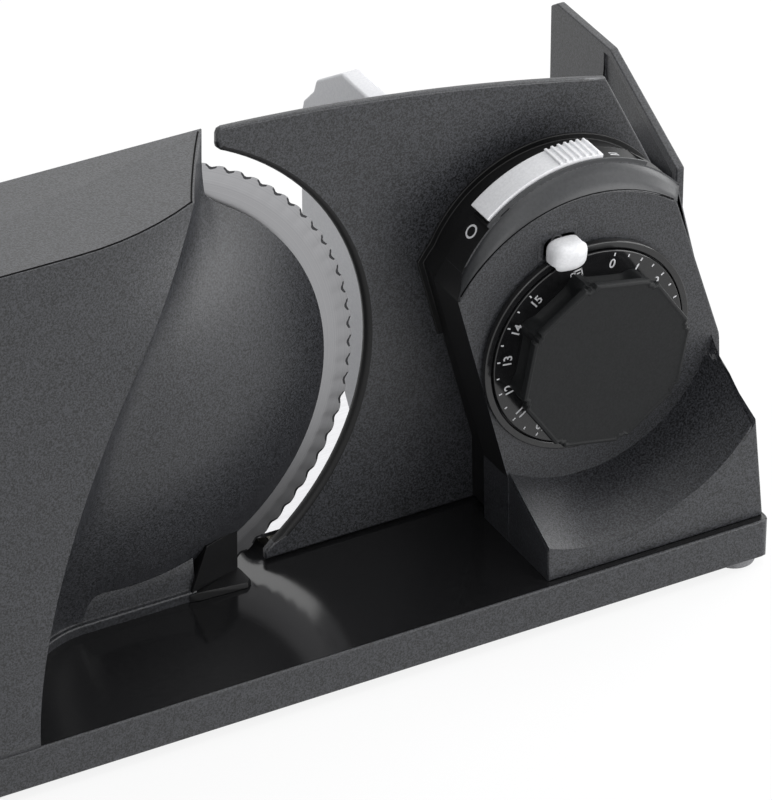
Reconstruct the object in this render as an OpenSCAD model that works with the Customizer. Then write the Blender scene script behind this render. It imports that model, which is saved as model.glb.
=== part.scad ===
// Electric food slicer: base with sliding carriage, motor housing with serrated blade,
// control housing with thickness dial, and a stop plate that the dial moves.
// Millimetres, +Z up. X runs along the carriage travel, the slice side faces -Y.

/* [Base] */
// Length of the base along the carriage travel
base_l = 340; // [336:1:360]
// Depth of the base from the slice side to the feed side
base_w = 190; // [186:1:210]
// Height of the base without its feet
base_h = 14.5; // [13:0.5:20]
// Height of the rubber feet
foot_h = 3.5; // [3:0.5:8]
// Wall thickness of the plastic shells
wall = 2.4; // [2:0.1:2.8]

/* [Blade] */
// Radius of the round blade to the tooth tips
blade_r = 85; // [82:0.5:86]
// Thickness of the blade
blade_t = 1.2; // [1:0.1:1.4]
// Number of serrations around the edge
blade_teeth = 76; // [50:1:90]
// How far the blade dips below the table
blade_dip = 8; // [7:0.5:8.5]
// Width of the blade ring that shows round the cover
blade_show = 11.5; // [10:0.5:13]
// Teeth of the motor pinion
pinion_teeth = 14; // [13:1:15]

/* [Motor housing] */
// Height of the motor housing above the table
housing_h = 166; // [160:0.5:175]
// How far the front face leans back over its height
housing_lean = 12.5; // [10:0.5:16]
// How far the dome bulges out
dome_bulge = 22; // [21:0.5:24]

/* [Stop plate] */
// Thickness of the stop plate
plate_t = 3; // [2.5:0.1:3.4]
// Gap between the stop plate and the blade tips
plate_gap = 5; // [3:0.5:6]
// Travel of the stop plate, the thickest slice
stop_travel = 10.5; // [8:0.5:11]

/* [Control housing] */
// Distance of the dial axis from the right end of the base
dial_inset = 55.5; // [54:0.5:57]
// Height of the dial axis above the table
dial_up = 69; // [68:0.5:72]
// Radius of the arched front rim
rim_r = 55; // [54:0.5:56]
// Radius of the dial flange
flange_r = 35; // [33:0.5:36]
// Distance of the knob's face from the panel
knob_out = 15.5; // [14:0.5:18]

/* [Carriage] */
// Length of the carriage floor along its travel
carriage_l = 156; // [150:1:160]
// Travel of the carriage
carriage_travel = 150; // [120:1:150]
// Height of the carriage wall's peak above the table
carriage_peak = 126; // [115:1:135]

/* [Hidden] */
$fn = 96;
cut = 1;           // how far a cutting tool runs past the face it cuts
fit = 0.05;        // radial clearance of a running fit
slack = 0.4;       // clearance between moving pieces

// Main levels and faces
table_z = foot_h + base_h;
table_t = 2.5;
floor_top = foot_h + wall;
left_x = -base_l / 2;
right_x = base_l / 2;
front_y = -base_w / 2;
back_y = base_w / 2;

// Blade axis and the faces stacked along it
dome_r = blade_r - blade_show;
blade_x = right_x - 125 - blade_r;
blade_z = table_z + blade_r - blade_dip;
blade_y = front_y + 58.5;
blade_front = blade_y - blade_t / 2;
blade_back = blade_y + blade_t / 2;
rear_y = blade_y + 2.5;             // feed-side face of the motor housing
back_plate_y = blade_front - 1.7;   // feed-side face of the housing back plate
back_plate_t = 2.4;
gear_back = back_plate_y - back_plate_t - 0.8;
gear_front = gear_back - 5;
bracket_y = gear_front - 2;         // feed-side face of the motor bracket
bracket_t = 2.5;
axle_r = 5;

// Gear pair
gear_module = 1;
gear_teeth = 2 * round((blade_r - 33) / gear_module);
gear_r = gear_teeth * gear_module / 2;
pinion_r = pinion_teeth * gear_module / 2;
motor_turn = 165;                   // direction from the blade axis to the motor axis
motor_x = blade_x + (gear_r + pinion_r) * cos(motor_turn);
motor_z = blade_z + (gear_r + pinion_r) * sin(motor_turn);
can_r = 20;
shaft_r = 2.5;
can_back = bracket_y - bracket_t;
can_front = can_back - 26;

// Stop plate
plate_front = blade_y - 1.5;
plate_back = plate_front + plate_t;
plate_low = table_z + 0.8;
plate_right = right_x - 5.5;

// Control housing
dial_x = right_x - dial_inset;
dial_z = table_z + dial_up;
panel_y = front_y + 29.5;
panel_in = panel_y + wall;
hood_rear = plate_front - stop_travel - 1;      // rear edge of the fixed hood
lip_y = front_y + 3;
roof_y = panel_y + 5;
roof_wall = 1.6;
roof_r = 47.6;
roof_x = dial_x + 0.8;
roof_z = dial_z + 14.8;
shroud_t = 1.8;
shroud_rim = 0.9;           // thickness of the rim where the shroud meets the plate

// Carriage
floor_z = table_z + 4.5;
floor_t = 1.5;
floor_y0 = blade_y + 5.5;
floor_y1 = back_y - 7;
wall_t = 3;
wall_x = right_x - wall_t;
rail_y = back_y - 45;

// Small shared shapes
module box(x0, x1, y0, y1, z0, z1) {
  translate([x0, y0, z0]) cube([x1 - x0, y1 - y0, z1 - z0]);
}

// A flat outline in X and Z, thickened from y0 to y1
module along_y(y0, y1) {
  translate([0, y1, 0]) rotate([90, 0, 0]) linear_extrude(y1 - y0) children();
}

// A flat outline in Y and Z, thickened from x0 to x1
module along_x(x0, x1) {
  translate([x0, 0, 0]) rotate([90, 0, 90]) linear_extrude(x1 - x0) children();
}

module pin_y(r, y0, y1, x, z) {
  translate([x, y1, z]) rotate([90, 0, 0]) cylinder(r = r, h = y1 - y0);
}

module pin_z(r, z0, z1, x, y) {
  translate([x, y, z0]) cylinder(r = r, h = z1 - z0);
}

module tube_y(ro, ri, y0, y1, x, z) {
  difference() {
    pin_y(ro, y0, y1, x, z);
    pin_y(ri, y0 - cut, y1 + cut, x, z);
  }
}

// Upright box with rounded vertical edges
module round_box(x0, x1, y0, y1, z0, z1, r) {
  box(x0 + r, x1 - r, y0, y1, z0, z1);
  box(x0, x1, y0 + r, y1 - r, z0, z1);
  for (x = [x0 + r, x1 - r], y = [y0 + r, y1 - r]) pin_z(r, z0, z1, x, y);
}

// Points of an arc about c, angles counted clockwise from straight up
function arc(c, r, a0, a1, n) =
  [for (i = [0:n]) let (a = a0 + (a1 - a0) * i / n) c + r * [sin(a), cos(a)]];

// Base
corner_r = 3;
post_places = [for (x = [left_x + 40, right_x - 40], y = [front_y + 12, back_y - 14]) [x, y]];
foot_r = 7.5;
foot_in = foot_r + 1;
foot_places = [for (x = [left_x + foot_in, right_x - foot_in])
  for (y = [front_y + foot_in, back_y - foot_in]) [x, y]];
rod_places = [dial_x - 10, dial_x + 30];
rod_z = (floor_top + table_z - table_t) / 2;
rod_r = 2.5;
rod_y0 = front_y + 19;
rod_y1 = front_y + 80;
rod_block_t = 6;
screw_r = 1.75;
slot_half = 42;
inlet_y = back_y - 70;
inlet_r = 3.8;

module base_tray() {
  color("#45474a") difference() {
    union() {
      difference() {
        round_box(left_x, right_x, front_y, back_y, foot_h, table_z, corner_r);
        round_box(left_x + wall, right_x - wall, front_y + wall, back_y - wall, floor_top, table_z + cut,
          corner_r - wall);
      }
      for (p = post_places) pin_z(5, foot_h, table_z - table_t, p[0], p[1]);
      for (x = rod_places, y = [rod_y0, rod_y1 - rod_block_t])
        box(x - 7, x + 7, y, y + rod_block_t, foot_h, table_z - table_t);
    }
    for (p = post_places) {
      pin_z(screw_r + fit, foot_h - cut, table_z, p[0], p[1]);
      pin_z(3.6, foot_h - cut, foot_h + 2.2, p[0], p[1]);
    }
    for (p = foot_places) pin_z(4, foot_h - cut, floor_top + cut, p[0], p[1]);
    for (x = rod_places) pin_y(rod_r + 0.02, rod_y0 - cut, rod_y1 + cut, x, rod_z);
    translate([left_x - cut, inlet_y, rod_z]) rotate([0, 90, 0]) cylinder(r = inlet_r, h = wall + 2 * cut);
  }
}

module table_plate() {
  gap = 0.15;
  color("#1c1c1e") difference() {
    round_box(left_x + wall + gap, right_x - wall - gap, front_y + wall + gap, back_y - wall - gap,
      table_z - table_t, table_z, corner_r - wall - gap);
    box(blade_x - slot_half, blade_x + slot_half, blade_front - 3, blade_back + 2.5, 0, table_z + cut);
    for (x = rod_places)
      box(x - 4, x + 4, plate_front - 8 - stop_travel - 1, plate_front + 1, 0, table_z + cut);
    box(motor_x - 8, motor_x + 8, front_y + 20, front_y + 32, 0, table_z + cut);
    for (p = post_places) pin_z(screw_r + fit, 0, table_z - 1, p[0], p[1]);
    for (x = rail_screw_x) pin_z(1.5 + fit, 0, table_z + cut, x, rail_y);
  }
}

module rubber_feet() {
  color("#1a1a1b") for (p = foot_places) {
    pin_z(foot_r, 0, foot_h, p[0], p[1]);
    pin_z(4 - fit, foot_h, floor_top + 1.5, p[0], p[1]);
  }
}

module base_screws() {
  color("silver") for (p = post_places) {
    pin_z(3.4, foot_h + 0.2, foot_h + 2.2, p[0], p[1]);
    pin_z(screw_r, foot_h + 2.2, table_z - 1.2, p[0], p[1]);
  }
}

module power_inlet() {
  color("#1a1a1b") translate([left_x, inlet_y, rod_z]) rotate([0, 90, 0]) difference() {
    union() {
      cylinder(r = inlet_r - fit, h = wall + 6);
      translate([0, 0, wall]) cylinder(r = inlet_r + 0.5, h = 3);
    }
    translate([0, 0, -cut]) cylinder(r = 2.6, h = wall + 8);
  }
}

board_x = left_x + 48;
board_y = back_y - 72;
module power_board() {
  color("#2f5a3a") {
    box(board_x, board_x + 50, board_y, board_y + 40, floor_top, floor_top + 1.6);
    box(board_x + 6, board_x + 20, board_y + 8, board_y + 22, floor_top + 1.6, floor_top + 6);
    box(board_x + 30, board_x + 42, board_y + 10, board_y + 30, floor_top + 1.6, floor_top + 5);
  }
}

// Motor housing: the front view follows a rising S line, and the plan sweeps from that line
// back to the blade. t runs from 0 at the table to 1 at the top, s from 0 to 1 along the
// S line, and w is an inward offset.
sweep_h = blade_z + dome_r + 15.5 - table_z;          // height at which the S line ends
housing_top = table_z + max(housing_h, sweep_h - 12);
shell_layers = 14;
sweep_steps = 8;
function shell_left(t) = left_x + 2 + 4 * t;
function shell_front(t) = front_y + housing_lean * t;
function edge_x(s) = motor_x + 1 + 68 * pow(s, 1.7);
function edge_back(s) = 12 * pow(max(0, s - 0.74) / 0.26, 2);
function sweep_rise(u) = u * u * (3 - 2 * u);
function sweep_x(s) = motor_x + 40 + 49.3 * sweep_rise(min(1, s / 0.87));
function sweep_y(s) = front_y + 50 + 10.5 * pow(s, 4);
function shell_plan(z, w, rear) = let (t = max(0, z - table_z) / (housing_top - table_z),
    s = min(1, max(0, z - table_z) / sweep_h), edge_y = shell_front(t) + edge_back(s))
  concat(
    [[shell_left(t) + w, rear]],
    [for (i = [0:4]) let (a = 22.5 * i, r = 12)
      [shell_left(t) + w + r * (1 - cos(a)), shell_front(t) + w + r * (1 - sin(a))]],
    [[edge_x(s) - 22, shell_front(t) + w]],
    [for (i = [0:sweep_steps]) let (a = 90 * i / sweep_steps)
      [sweep_x(s) - w - (sweep_x(s) - edge_x(s)) * cos(a), edge_y + w + (sweep_y(s) - edge_y) * sin(a)]],
    [[sweep_x(s) - w, rear]]);

// Height of a ring of the loft: the last but one is level with the inside of the top wall
function ring_z(i, z0) = i == 0 ? z0
  : i < shell_layers ? table_z + (housing_top - wall - table_z) * i / (shell_layers - 1) : housing_top;

module shell_loft(w, z0, layers, rear) {
  rings = [for (i = [0:layers]) let (z = ring_z(i, z0)) [for (p = shell_plan(z, w, rear)) [p[0], p[1], z]]];
  n = len(rings[0]);
  points = [for (ring = rings) for (p = ring) p];
  sides = [for (i = [0:layers - 1]) for (j = [0:n - 1])
    let (a = i * n + j, b = i * n + (j + 1) % n) each [[a, a + n, b], [b, a + n, b + n]]];
  bottom = [for (j = [1:n - 2]) [0, j, j + 1]];
  top = [for (tri = bottom) [for (k = [2:-1:0]) layers * n + tri[k]]];
  polyhedron(points, concat(sides, bottom, top), convexity = 8);
}

dome_sphere = (pow(dome_r, 2) + pow(dome_bulge, 2)) / (2 * dome_bulge);
dome_base = blade_front - 2.4;
module dome_solid(w) {
  intersection() {
    translate([blade_x, dome_centre_y, blade_z]) sphere(r = dome_sphere - w);
    pin_y(dome_r - w, dome_base - 2 * dome_bulge, dome_base + (w > 0 ? cut : 0), blade_x, blade_z);
  }
}

// Posts inside the front wall that carry the motor bracket
post_r = 4;
bracket_ears = [for (s = [-1, 1]) [motor_x - 15, motor_z + 21 * s]];
function front_at(z) = shell_front((z - table_z) / (housing_top - table_z));

module motor_housing() {
  color("#55575a") {
    difference() {
      union() {
        shell_loft(0, table_z, shell_layers, rear_y);
        dome_solid(0);
      }
      shell_loft(wall, table_z - cut, shell_layers - 1, rear_y + 4);
      dome_solid(wall);
      pin_y(blade_r + 1, blade_front - 1.5, rear_y + cut, blade_x, blade_z);
    }
    for (p = bracket_ears) difference() {
      pin_y(post_r, front_at(p[1]) + wall / 2, can_back, p[0], p[1]);
      pin_y(1.5 + fit, can_back - 10, can_back + cut, p[0], p[1]);
    }
  }
}

// The back plate closes the housing and the dome behind the blade
dome_centre_y = dome_base - dome_bulge + dome_sphere;
back_front = back_plate_y - back_plate_t;
back_disc_r = sqrt(pow(dome_sphere - wall, 2) - pow(dome_centre_y - back_front, 2)) - 0.4;
back_gap = 0.6;
module housing_back() {
  color("#3c3e41") difference() {
    union() {
      pin_y(back_disc_r, back_front, back_plate_y, blade_x, blade_z);
      intersection() {
        shell_loft(wall + back_gap, table_z, shell_layers - 1, rear_y);
        box(left_x, blade_x - 30, back_front, back_plate_y, table_z + 0.3, housing_top - wall - back_gap);
      }
    }
    pin_y(17, back_front - cut, back_plate_y + cut, blade_x, blade_z);
  }
}

plinth_z = blade_z - dome_r - 0.1;
module housing_plinth() {
  color("#45474a") box(sweep_x(0) + 0.3, blade_x + 28, dome_base - 7, dome_base, table_z, plinth_z);
}

module toe_guard() {
  color("#3c3e41") difference() {
    box(blade_x + 18, blade_x + 46, dome_base - 6, dome_base, plinth_z, plinth_z + 15.6);
    pin_y(dome_r + 0.3, dome_base - 20, dome_base + cut, blade_x, blade_z);
  }
}

// Motor
module motor_can() {
  color("#8d8f92") difference() {
    pin_y(can_r, can_front, can_back, motor_x, motor_z);
    pin_y(can_r - 1.2, can_front - cut, can_back - 1.2, motor_x, motor_z);
    pin_y(shaft_r + fit, can_front, can_back + cut, motor_x, motor_z);
    for (a = [90, 270]) motor_hole(a, 1.5 + fit);
  }
}

module motor_hole(a, r) {
  pin_y(r, can_back - 10, bracket_y + 10, motor_x + 12 * cos(a), motor_z + 12 * sin(a));
}

module motor_end_cap() {
  color("#26272a") difference() {
    union() {
      pin_y(can_r, can_front - 5, can_front, motor_x, motor_z);
      pin_y(can_r - 1.3, can_front, can_front + 2, motor_x, motor_z);
    }
    pin_y(can_r - 3, can_front - 3, can_front + 3, motor_x, motor_z);
    pin_y(shaft_r + fit, can_front - 4.2, can_front, motor_x, motor_z);
  }
}

module motor_magnets() {
  color("#3a3a3c") difference() {
    tube_y(can_r - 1.25, can_r - 5, can_front + 6, can_back - 4, motor_x, motor_z);
    box(motor_x - 5, motor_x + 5, can_front, can_back, motor_z - 40, motor_z + 40);
  }
}

module motor_brushes() {
  color("#303030") for (s = [-1, 1])
    box(motor_x - 2, motor_x + 2, can_front - 2.5, can_front + 1.5,
      motor_z + (s > 0 ? 6.4 : -14), motor_z + (s > 0 ? 14 : -6.4));
}

module motor_bracket() {
  color("#9a9a9c") difference() {
    along_y(bracket_y - bracket_t, bracket_y) union() {
      translate([motor_x, motor_z]) circle(r = can_r);
      translate([blade_x, blade_z]) circle(r = 22);
      for (p = bracket_ears) translate(p) circle(r = 7);
      translate([motor_x, motor_z]) rotate(motor_turn - 180) translate([0, -14])
        square([gear_r + pinion_r, 28]);
    }
    pin_y(6, bracket_y - 5, bracket_y + cut, motor_x, motor_z);
    pin_y(axle_r + 0.02, bracket_y - 5, bracket_y + cut, blade_x, blade_z);
    for (a = [90, 270]) motor_hole(a, 1.5 + fit);
    for (p = bracket_ears) pin_y(1.5 + fit, bracket_y - 5, bracket_y + cut, p[0], p[1]);
  }
}

module motor_screws() {
  can_holes = [for (a = [90, 270]) [motor_x + 12 * cos(a), motor_z + 12 * sin(a)]];
  color("silver") {
    for (p = can_holes) screw_y(can_back - 1, p);
    for (p = bracket_ears) screw_y(can_back - 9, p);
  }
}

module screw_y(tip, p) {
  pin_y(1.5, tip, bracket_y, p[0], p[1]);
  pin_y(2.8, bracket_y, bracket_y + 1.6, p[0], p[1]);
}

module blade_axle() {
  color("#b0b0b2") {
    pin_y(axle_r, bracket_y - bracket_t - 1.5, blade_back + 2, blade_x, blade_z);
    pin_y(9, bracket_y - bracket_t - 3.5, bracket_y - bracket_t, blade_x, blade_z);
  }
}

// Involute gear outline with a little backlash
pressure = 20;
backlash = 0.12;
function involute(a) = tan(a) * 180 / PI - a;
function half_tooth(rho, r, n) = (90 - backlash * 90) / n + involute(pressure)
  - involute(acos(min(1, r * cos(pressure) / rho)));
function gear_outline(n, root, tip) = let (r = n * gear_module / 2, start = max(root, r * cos(pressure)))
  [for (i = [0:n - 1]) for (s = [-1, 1]) for (k = [0:3])
    let (f = (s < 0 ? k : 3 - k) / 3, rho = k * s == (s < 0 ? 0 : 3) ? root : start + (tip - start) * f,
      a = 360 * i / n + s * half_tooth(max(rho, start), r, n))
    rho * [cos(a), sin(a)]];

module gear_2d(n, turn, x, z) {
  r = n * gear_module / 2;
  translate([x, z]) rotate(turn) polygon(gear_outline(n, r - 1.25 * gear_module, r + 0.9 * gear_module));
}

// Blade
serration = 1.1;
module blade() {
  tooth_shape = [0, 0.75, 1, 0.75];
  color("#b4b4b6") difference() {
    along_y(blade_front, blade_back) difference() {
      translate([blade_x, blade_z]) polygon([for (i = [0:4 * blade_teeth - 1])
        let (a = 90 * i / blade_teeth, r = blade_r - serration * tooth_shape[i % 4]) r * [cos(a), sin(a)]]);
    }
    pin_y(axle_r + 0.4, blade_front - cut, blade_back + cut, blade_x, blade_z);
    for (a = blade_screw_turns) blade_hole(a, 1.5 + fit);
  }
}

blade_screw_turns = [90, 210, 330];
module blade_hole(a, r) {
  pin_y(r, blade_front - 4, blade_back + 4, blade_x + 11 * cos(a), blade_z + 11 * sin(a));
}

module blade_gear() {
  color("#e8e4d8") difference() {
    union() {
      along_y(gear_front, gear_back) gear_2d(gear_teeth, motor_turn, blade_x, blade_z);
      pin_y(15.5, gear_back, blade_front, blade_x, blade_z);
    }
    tube_y(gear_r - 5, 22, gear_front - cut, gear_front + 2, blade_x, blade_z);
    pin_y(axle_r + 2, gear_front - cut, blade_front + cut, blade_x, blade_z);
    for (a = blade_screw_turns) blade_hole(a, 1.5 + fit);
  }
}

module gear_bush() {
  color("#b08a4a") tube_y(axle_r + 2, axle_r + fit, gear_front, blade_front, blade_x, blade_z);
}

module blade_screws() {
  color("silver") for (a = blade_screw_turns) let (x = blade_x + 11 * cos(a), z = blade_z + 11 * sin(a)) {
    pin_y(1.5, blade_front - 3.8, blade_back, x, z);
    pin_y(2.6, blade_back, blade_back + 0.9, x, z);
  }
}

module blade_cap() {
  color("#2c2d2f") difference() {
    pin_y(20, blade_back, blade_back + 1.6, blade_x, blade_z);
    pin_y(axle_r + 0.4, blade_back - cut, blade_back + 3, blade_x, blade_z);
    for (a = blade_screw_turns) blade_hole(a, 2.7);
  }
}

// Rotor
rotor_front = can_front + 7;
rotor_back = can_back - 5;
module rotor_shaft() {
  color("#b0b0b2") pin_y(shaft_r, can_front - 4, gear_back, motor_x, motor_z);
}

module rotor_core() {
  slots = 5;
  color("#77797c") difference() {
    tube_y(can_r - 6, shaft_r, rotor_front, rotor_back, motor_x, motor_z);
    for (i = [0:slots - 1]) rotor_slot(i * 360 / slots, 5.5, can_r, rotor_front - cut, rotor_back + cut, 5);
  }
}

module rotor_slot(a, r0, r1, y0, y1, w) {
  translate([motor_x, 0, motor_z]) rotate([0, -a, 0]) box(r0, r1, y0, y1, -w / 2, w / 2);
}

module rotor_coils() {
  slots = 5;
  color("#a5622d") for (i = [0:slots - 1])
    rotor_slot(i * 360 / slots, 6, can_r - 7.5, rotor_front - 2, rotor_back + 2, 4.6);
}

module commutator() {
  color("#b87333") tube_y(6, shaft_r, can_front - 2.4, rotor_front - 2.4, motor_x, motor_z);
}

module pinion() {
  color("#b08a4a") difference() {
    along_y(gear_front, gear_back)
      gear_2d(pinion_teeth, motor_turn + 180 + 180 / pinion_teeth, motor_x, motor_z);
    pin_y(shaft_r, gear_front - cut, gear_back + cut, motor_x, motor_z);
  }
}

// Control housing. The front outline is an arch about the dial with leaning sides.
function dial_at(dx, dz) = [dial_x + dx, dial_z + dz];
lip_left = dial_x - 27;
hood_left = dial_at(-27.5, -44);
hood_right = dial_at(51.5, -11);
function hood_front() = concat(arc([dial_x, dial_z], rim_r, -58, 38, 24),
  [hood_right, [right_x - 1, table_z], [lip_left, table_z], hood_left]);
module hood_outline() {
  polygon(hood_front());
  polygon(concat(arc([roof_x, roof_z], roof_r, -66, 50, 32), [hood_right, hood_left]));
}

scoop_r0 = 50;
scoop_r1 = 58;
module scoop(extra) {
  grow = (scoop_r1 - scoop_r0) / (panel_y - lip_y);
  length = panel_y - lip_y + extra + 10;
  start_r = scoop_r0 + extra - grow * extra;
  translate([dial_x, panel_y + extra, dial_z]) rotate([90, 0, 0])
    cylinder(r1 = start_r, r2 = start_r + grow * length, h = length);
}

// Side profile of the block under the dial, inset by w
module block_profile(w) {
  polygon([[lip_y + w, table_z - cut], [lip_y + w, table_z + 42 - w], [panel_y, dial_z - 2 - w],
    [hood_rear + cut, dial_z - 2 - w], [hood_rear + cut, table_z - cut]]);
}

module block_outline(w) {
  polygon([[lip_left + w, table_z - cut], [right_x - 1 - w, table_z - cut], [right_x - 6.6 - w, table_z + 44],
    [right_x - 7.2 - w, dial_z], [lip_left + w, dial_z]]);
}

module block_solid(w) {
  difference() {
    intersection() {
      along_x(lip_left - 5, right_x) block_profile(w);
      along_y(lip_y - 5, hood_rear + (w > 0 ? cut : 0)) block_outline(w);
    }
    scoop(w);
  }
}

module control_housing() {
  color("#4b4d50") difference() {
    union() {
      along_y(panel_y, hood_rear) polygon(hood_front());
      along_y(roof_y, hood_rear) hood_outline();
      rim_slope();
      intersection() {
        block_solid(0);
        box(left_x, right_x, front_y, back_y, table_z, housing_top);
      }
    }
    along_y(panel_in, hood_rear + cut) offset(delta = -wall) polygon(hood_front());
    along_y(roof_y - slack, hood_rear + cut) offset(delta = -roof_wall) hood_outline();
    block_solid(wall);
    pin_y(11, panel_y - cut, panel_in + cut, dial_x, dial_z);
    button_hole(0.3);
  }
}

// Sloping crescent between the front rim and the higher roof
module rim_slope() {
  sink = 0.06;
  hull() {
    along_y(panel_y + sink, panel_y + 2 * sink) polygon(arc([dial_x, dial_z], rim_r - sink, -50, 34, 24));
    along_y(roof_y + sink, roof_y + 2 * sink) polygon(arc([roof_x, roof_z], roof_r - sink, -60, 48, 24));
  }
}

button_at = dial_at(-10.5, 40.9);
button_w = 12;
button_h = 10;
module button_hole(gap) {
  box(button_at[0] - button_w / 2 - gap, button_at[0] + button_w / 2 + gap, panel_y - 10, panel_in + cut,
    button_at[1] - button_h / 2 - gap, button_at[1] + button_h / 2 + gap);
}

module dial_bezel() {
  color("#2a2b2d") difference() {
    tube_y(flange_r + 3, flange_r + slack, panel_y - 2.6, panel_y, dial_x, dial_z);
    button_hole(0.3);
  }
}

sleeve_r = 8;
module dial_bush() {
  color("#d8d4c4") difference() {
    union() {
      pin_y(11, panel_y, panel_in + 6, dial_x, dial_z);
      pin_y(14, panel_in, panel_in + 2, dial_x, dial_z);
    }
    pin_y(sleeve_r + fit, panel_y - cut, panel_in + 8, dial_x, dial_z);
  }
}

// Switch on the arched roof
track_rim = 0.7;            // thickness of the track's two long rims
slider_y0 = roof_y + track_rim + 0.3;
slider_y1 = hood_rear - track_rim - 0.3;
slider_r0 = roof_r + 0.9;
slider_r1 = slider_r0 + 2;
slider_a0 = -42;
slider_a1 = 10;
slider_turn = 18;
module roof_sector(r0, r1, a0, a1, y0, y1) {
  along_y(y0, y1) difference() {
    intersection() {
      translate([roof_x, roof_z]) circle(r = r1);
      translate([roof_x, roof_z]) polygon(concat([[0, 0]], arc([0, 0], 2 * r1, a0, a1, 8)));
    }
    translate([roof_x, roof_z]) circle(r = r0);
  }
}

module slider_track() {
  color("#3a3b3e") difference() {
    roof_sector(roof_r + 0.02, slider_r0 + 1, slider_a0 - 2, slider_a1 + slider_turn + 2, roof_y, hood_rear);
    roof_sector(slider_r0 - 0.3, slider_r1 + 1, slider_a0 - 1, slider_a1 + slider_turn + 1,
      roof_y + track_rim, hood_rear - track_rim);
  }
}

rib_turns = [for (i = [0:6]) slider_a1 - 2 - 2.6 * i];
module switch_slider() {
  color("#ececee") difference() {
    union() {
      roof_sector(slider_r0, slider_r1, slider_a0, slider_a1, slider_y0, slider_y1);
      for (a = rib_turns) roof_sector(slider_r1 - 0.4, slider_r1 + 0.8, a - 0.6, a + 0.6, slider_y0, slider_y1);
    }
    roof_sector(slider_r0 - cut, slider_r0 + 1.1, -8, -1, slider_y0 + 1, slider_y1 - 1);
  }
}

module slider_magnet() {
  color("#5a5a5c") roof_sector(slider_r0 + 0.1, slider_r0 + 1.1, -8, -1, slider_y0 + 1, slider_y1 - 1);
}

module control_board() {
  color("#2f5a3a") difference() {
    along_y(panel_in, panel_in + 1.6) translate([dial_x, dial_z]) difference() {
      circle(r = 32);
      circle(r = 18);
    }
  }
}

module switch_sensor() {
  color("#222222") box(dial_x - 4, dial_x + 4, panel_in + 1.6, panel_in + 4, dial_z + 23, dial_z + 29);
}

button_out = 6;
module lock_button() {
  x0 = button_at[0] - button_w / 2;
  x1 = button_at[0] + button_w / 2;
  color("#f4f4f4") difference() {
    union() {
      box(x0, x1, panel_y - button_out, panel_in + 3, button_at[1] - button_h / 2, button_at[1] + button_h / 2);
      box(x0 - 2, x1 + 2, panel_in + 3, panel_in + 4.2,
        button_at[1] - button_h / 2, button_at[1] + button_h / 2);
    }
    pin_y(2.6, panel_in - 2, panel_in + 5, button_at[0], button_at[1]);
  }
}

module button_spring() {
  color("#b0b0b2") tube_y(2.4, 1.8, panel_in - 1.9, panel_in + button_seat, button_at[0], button_at[1]);
}

// Fixed bridge behind the button that the spring pushes against
button_seat = 8.5;
module button_bracket() {
  inner = button_w / 2 + 3;
  z0 = button_at[1] - 3;
  z1 = button_at[1] + 3;
  color("#3a3b3e") {
    box(button_at[0] - inner - 2, button_at[0] + inner + 2,
      panel_in + button_seat, panel_in + button_seat + 1.5, z0, z1);
    for (x = [-inner - 2, inner])
      box(button_at[0] + x, button_at[0] + x + 2, panel_in, panel_in + button_seat, z0, z1);
  }
}

// Dial
knob_face = panel_y - knob_out;
flange_y = panel_y - 0.5;
flange_t = 2.6;
knob_r = 32;
knob_turn = 11.8;           // how far the knob's flats are turned from upright at rest
flute_in = 2.2;             // depth of the finger flutes' centres outside the corners
skirt_r = 25.5;
module dial_flange() {
  color("#1a1b1c") tube_y(flange_r, sleeve_r, flange_y - flange_t, flange_y, dial_x, dial_z);
}

module dial_knob() {
  color("#2c2d2f") difference() {
    union() {
      pin_y(skirt_r, knob_face + 8, flange_y - flange_t, dial_x, dial_z);
      along_y(knob_face, knob_face + 8) translate([dial_x, dial_z]) rotate(knob_turn)
        circle(r = knob_r, $fn = 8);
    }
    pin_y(skirt_r - 4, knob_face + 3, flange_y, dial_x, dial_z);
    for (i = [0:7]) let (a = knob_turn + 22.5 + 45 * i) pin_y(6, knob_face + 3, knob_face + 8 + cut,
      dial_x + (knob_r + flute_in) * cos(a), dial_z + (knob_r + flute_in) * sin(a));
  }
}

lead_r = 5;
module dial_sleeve() {
  color("#d8d4c4") difference() {
    pin_y(sleeve_r, knob_face + 3, plate_front - stop_travel - 4.5, dial_x, dial_z);
    pin_y(lead_r + fit, knob_face + 4.5, plate_front, dial_x, dial_z);
    tube_y(sleeve_r + cut, sleeve_r - 1, panel_in + 6.4, panel_in + 7.6, dial_x, dial_z);
  }
}

module dial_clip() {
  color("#b0b0b2") difference() {
    tube_y(sleeve_r + 2, sleeve_r - 1, panel_in + 6.5, panel_in + 7.5, dial_x, dial_z);
    box(dial_x - 2.5, dial_x + 2.5, panel_y, hood_rear, dial_z - 20, dial_z);
  }
}

// Stop plate: concave edge round the blade, long arched top, leaning right edge
plate_r = blade_r + plate_gap;
module stop_plate() {
  tip = blade_x + 37.5;
  top_arc_r = 740;
  top_c = [tip - 33, table_z + 167.3 - top_arc_r];
  color("#45474a") difference() {
    along_y(plate_front, plate_back) difference() {
      polygon(concat(arc(top_c, top_arc_r, 2.56, 13.5, 16),
        [[plate_right - 3, table_z + 98], [plate_right, table_z + 80], [plate_right, plate_low],
        [tip + 15, plate_low], [tip + 15, table_z + 14], [tip, table_z + 60]]));
      translate([blade_x, blade_z]) circle(r = plate_r, $fn = 180);
    }
    for (p = plate_screw_places) pin_y(1.5 + fit, plate_front - cut, plate_back - 1, p[0], p[1]);
  }
}

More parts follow.
